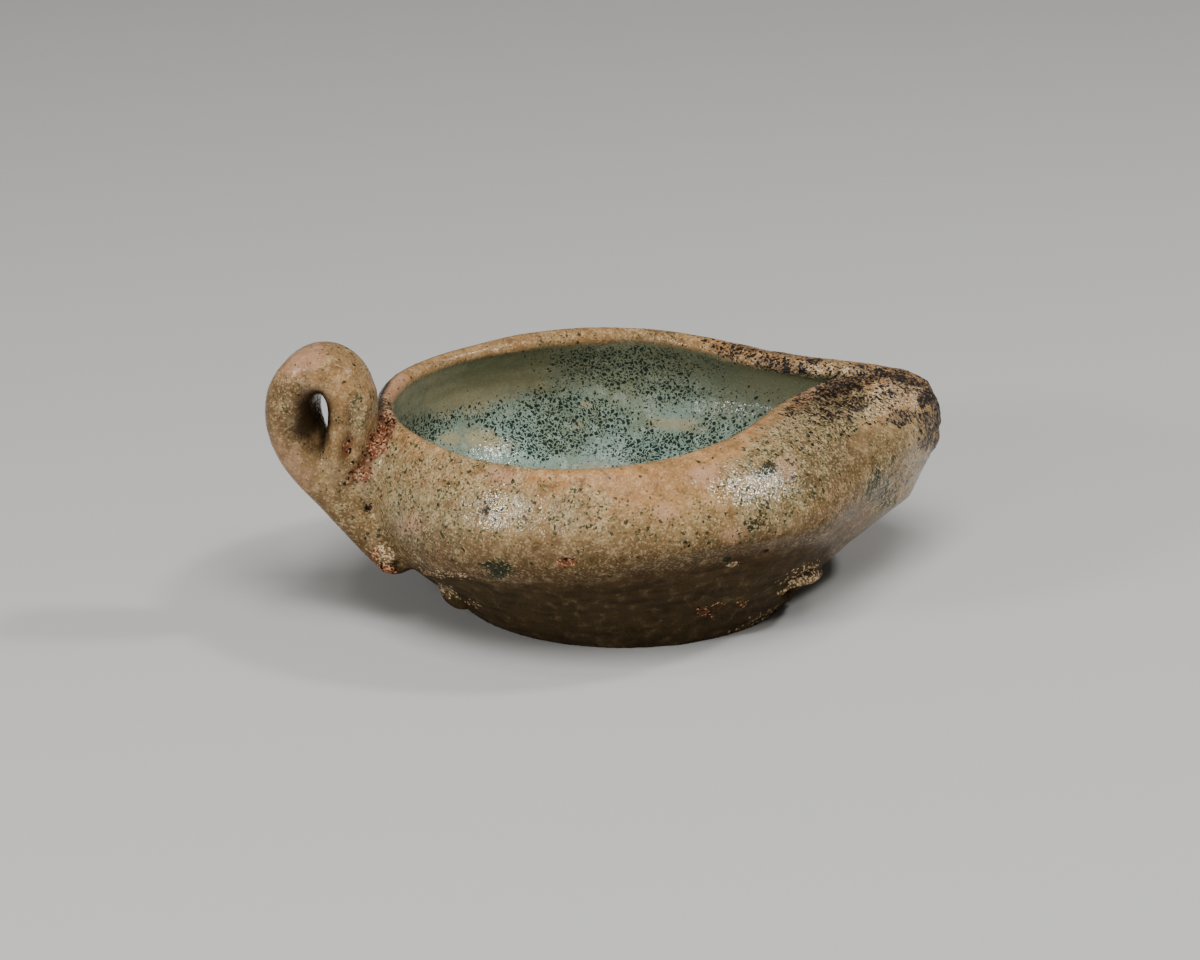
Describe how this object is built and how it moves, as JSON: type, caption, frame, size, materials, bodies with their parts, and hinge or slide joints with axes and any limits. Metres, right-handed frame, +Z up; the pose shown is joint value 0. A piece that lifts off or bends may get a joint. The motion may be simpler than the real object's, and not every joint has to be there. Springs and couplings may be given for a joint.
{
  "type": "earthenware oil lamp",
  "caption": "Small glazed pottery oil lamp: a round open bowl with an inturned rim pinched to a closed spout, a flat base and a folded strap loop handle.",
  "frame": {"origin": "centre of the bowl, on the plane of its flat base", "axes": "+X from the bowl's centre to the spout, -X to the handle, +Z up out of the bowl, +Y to the left when facing along the spout"},
  "size_m": [0.1232, 0.0908, 0.0498],
  "materials": {
    "glazed_earthenware": "worn semi-gloss tan lead glaze over buff clay, pale grey-green with dark green flecks inside, sooty at the spout"
  },
  "bodies": {
    "root": {"lamp": "glazed_earthenware"}
  },
  "joints": []
}
